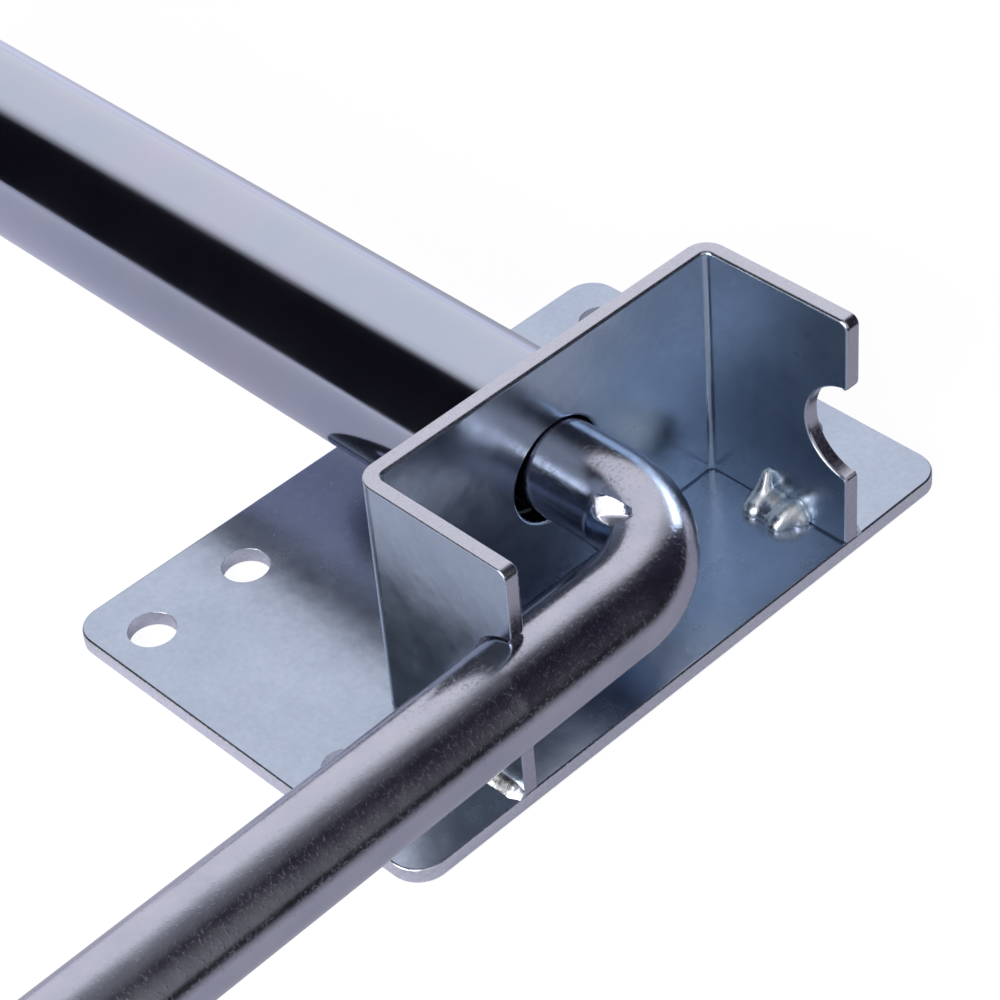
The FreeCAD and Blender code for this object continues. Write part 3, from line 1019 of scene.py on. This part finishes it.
# %% Kept solids
kept_finishes = {
    "thrust_washer": zinc_fastener, "lock_nut": zinc_fastener, "nut_insert_ring": nylon}
for node, material in kept_finishes.items():
    kept_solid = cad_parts[node]
    kept_solid.data.materials.clear()
    kept_solid.data.materials.append(material)
    print(node, "wears", material.name)

# %% [markdown]
# ## Studio
# Metal shows its surroundings more than its own colour, so the surroundings matter. A pale floor
# lies just under the plate. In reflections it grows brighter towards the back right, as if it
# swept up into a backdrop, and it is dark in front of the object, as if a black screen lay there.
# That screen draws the dark band along the arm. For the camera the floor is lifted to white.

# %% Floor
floor_drop = 0.4 * mm
nothing_selected()
bpy.ops.mesh.primitive_plane_add(size=8, location=(0, 0, -floor_drop))
floor = new_piece("floor")
pale_floor, tree, shader = new_material("pale_matt_floor", 0.0, 0.9)
shader.inputs["Base Color"].default_value = colour("#E2E0EC")
to_backdrop = (0.66, 0.75, 0)
to_front = (0, -1, 0)
white = (1, 1, 1, 1)
cool_white = (0.9, 0.93, 1.1, 1)
white_lift = 0.9
lifted_share = 0.6
rays = add(tree, "ShaderNodeLightPath")
seen = add(tree, "ShaderNodeMath", {
    0: rays.outputs["Is Camera Ray"], 1: rays.outputs["Is Transmission Ray"]},
    operation="MAXIMUM")
spot = add(tree, "ShaderNodeTexCoord").outputs["Object"]
behind = add(tree, "ShaderNodeVectorMath", {0: spot, 1: to_backdrop}, operation="DOT_PRODUCT")
sweep = add(tree, "ShaderNodeMapRange", {
    "Value": behind.outputs["Value"], "From Min": 0.05, "From Max": 0.4,
    "To Min": 0.1, "To Max": 0.7})
before = add(tree, "ShaderNodeVectorMath", {0: spot, 1: to_front}, operation="DOT_PRODUCT")
dusk = add(tree, "ShaderNodeMapRange", {
    "Value": before.outputs["Value"], "From Min": 0.122, "From Max": 0.2, "To Max": 0.97})
unlit = add(tree, "ShaderNodeMath", {
    0: rays.outputs["Is Glossy Ray"], 1: dusk.outputs["Result"]}, operation="MULTIPLY")
lit = add(tree, "ShaderNodeMath", {
    0: rays.outputs["Is Glossy Ray"], 1: unlit.outputs["Value"]}, operation="SUBTRACT")
mirrored = add(tree, "ShaderNodeMath", {
    0: lit.outputs["Value"], 1: sweep.outputs["Result"]}, operation="MULTIPLY")
print("floor at", round(floor.data.vertices[0].co.z / mm, 2), "mm")

# %% Floor's glow
lift = add(tree, "ShaderNodeMath", {
    0: seen.outputs["Value"], 1: white_lift}, operation="MULTIPLY")
strength = add(tree, "ShaderNodeMath", {0: lift.outputs["Value"], 1: mirrored.outputs["Value"]})
cool = add(tree, "ShaderNodeMix", {
    0: rays.outputs["Is Glossy Ray"], 6: white, 7: cool_white}, data_type="RGBA")
glow = add(tree, "ShaderNodeEmission", {
    "Color": cool.outputs[2], "Strength": strength.outputs["Value"]})
share = add(tree, "ShaderNodeMath", {
    0: seen.outputs["Value"], 1: lifted_share}, operation="MULTIPLY")
darker = add(tree, "ShaderNodeMath", {
    0: share.outputs["Value"], 1: unlit.outputs["Value"]}, operation="MAXIMUM")
dimmed = add(tree, "ShaderNodeMixShader", {
    "Fac": darker.outputs["Value"], 1: shader.outputs["BSDF"]})
total = add(tree, "ShaderNodeAddShader", {
    0: dimmed.outputs["Shader"], 1: glow.outputs["Emission"]})
tree.links.new(total.outputs["Shader"], tree.nodes["Material Output"].inputs["Surface"])
pale_floor.cycles.emission_sampling = "NONE"
floor.data.materials.append(pale_floor)
print("floor finish", pale_floor.name)

# %% [markdown]
# The world is the still part of the room. Its walls are a colour ramp round the horizon: a white
# backdrop behind and to the right, a white wall on the left that turns grey towards the front, and
# black screens at the rear left and the front right, which are a little bluer. Above them is a
# grey ceiling. Real walls could be built, but a ramp is quicker to render, and one number moves a
# wall. Only reflections see this room. The rest of the light is soft and even, and the camera
# sees white.

# %% World
world = bpy.data.worlds.new("studio")
scene.world = world
world.use_nodes = True
tree = world.node_tree
background = tree.nodes["Background"]
soft_light = (0.27, 0.27, 0.28, 1)
ceiling_grey = (0.115, 0.12, 0.13, 1)
# Bearing in degrees from +Y towards +X, and how bright the room is there, as half its radiance
room = [
    (-180, 0.28), (-165, 0.38), (-142, 0.2), (-134, 0.3), (-129, 0.5), (-120, 0.5), (-84, 0.5),
    (-70, 0.1), (-60, 0.004), (-12, 0.004), (-2, 0.42), (8, 0.52), (68, 0.52), (84, 0.25),
    (94, 0.02), (125, 0.008), (149, 0.015), (156, 0.1), (170, 0.25),
]
way = add(tree, "ShaderNodeTexCoord").outputs["Generated"]
parts = add(tree, "ShaderNodeSeparateXYZ", {"Vector": way})
bearing = add(tree, "ShaderNodeMath", {
    0: parts.outputs["X"], 1: parts.outputs["Y"]}, operation="ARCTAN2").outputs["Value"]
compass = add(tree, "ShaderNodeMapRange", {
    "Value": bearing, "From Min": -math.pi, "From Max": math.pi}).outputs["Result"]
walls = []
for degrees, bright in room:
    cold = 0.4 if bright < 0.1 else 0.02
    tint = (bright, bright * (1 - cold / 3), bright * (1 + cold), 1)
    walls.append(((degrees + 180) / 360, tint))
wall = add(tree, "ShaderNodeValToRGB", {"Fac": compass}, stops=walls)
print("room stops", len(walls))

# %% What each ray sees
rise = add(tree, "ShaderNodeMath", {0: parts.outputs["Z"]}, operation="ARCSINE").outputs["Value"]
ceiling = add(tree, "ShaderNodeMapRange", {
    "Value": rise, "From Min": math.radians(53), "From Max": math.radians(70)}).outputs["Result"]
room_light = add(tree, "ShaderNodeMix", {
    0: ceiling, 6: wall.outputs["Color"], 7: ceiling_grey}, data_type="RGBA").outputs[2]
rays = add(tree, "ShaderNodeLightPath")
soft = add(tree, "ShaderNodeMix", {
    0: rays.outputs["Is Glossy Ray"], 6: soft_light, 7: room_light},
    data_type="RGBA").outputs[2]
seen = add(tree, "ShaderNodeMath", {
    0: rays.outputs["Is Camera Ray"], 1: rays.outputs["Is Transmission Ray"]},
    operation="MAXIMUM")
picture = add(tree, "ShaderNodeMix", {
    0: seen.outputs["Value"], 6: soft, 7: white}, data_type="RGBA").outputs[2]
doubled = add(tree, "ShaderNodeMath", {
    0: rays.outputs["Is Glossy Ray"], 1: 1.0}, operation="ADD")
tree.links.new(picture, background.inputs["Color"])
tree.links.new(doubled.outputs["Value"], background.inputs["Strength"])
world.cycles.sampling_method = "NONE"
print("world", world.name)


# %% [markdown]
# A large soft box stands low on the left, and a small bright window beside it. They give the
# strong highlights on the bend and the sparkle on the welds. The world could hold them too, but
# real lamps also throw soft shadows. A lamp looks along its own -Z, so its +Z is turned away from
# the object.

# %% Lamps
def place_at(bearing, height, distance):
    """A place that far from the object, at a bearing from +Y towards +X and a height."""
    bearing, height = math.radians(bearing), math.radians(height)
    run = math.cos(height) * distance
    return Vector((math.sin(bearing) * run, math.cos(bearing) * run, math.sin(height) * distance))


# Name, bearing and height in degrees, distance, width and height in metres, and watts
lamps = [
    ("soft_box", -105, 19, 1.2, 1.02, 0.95, 8.2),
    ("window", -82, 14, 1.1, 0.5, 0.42, 5.0),
]
for name, bearing, height, distance, width, tall, watts in lamps:
    nothing_selected()
    lamp_place = place_at(bearing, height, distance)
    bpy.ops.object.light_add(type="AREA", location=lamp_place)
    lamp = bpy.context.object
    lamp.name = name
    lamp.rotation_euler = lamp_place.to_track_quat("Z", "Y").to_euler()
    lamp.data.shape = "RECTANGLE"
    lamp.data.size = width
    lamp.data.size_y = tall
    lamp.data.energy = watts
    lamp.data.color = (1.0, 0.98, 0.94)
    print(name, "at", [round(v, 2) for v in lamp_place])

# %% [markdown]
# ## Camera
# The camera stands to the front left and looks down at about 41 degrees with a long lens, as in
# the photograph. By eye, a long lens is hard to tell from a shorter one that stands nearer, so
# its place and turn come from matching the object's edges and corners.

# %% Camera
camera_place = (-0.30140, -0.34902, 0.41580)
camera_turn = [math.radians(a) for a in (48.5544, 4.0175, -44.8259)]
bpy.ops.object.camera_add(location=camera_place, rotation=camera_turn)
camera = bpy.context.object
camera.data.sensor_width = 36
camera.data.lens = 109.376
camera.data.clip_start = 0.01
scene.camera = camera
scene.view_settings.view_transform = "Standard"
print("camera", [round(v, 3) for v in camera.location])
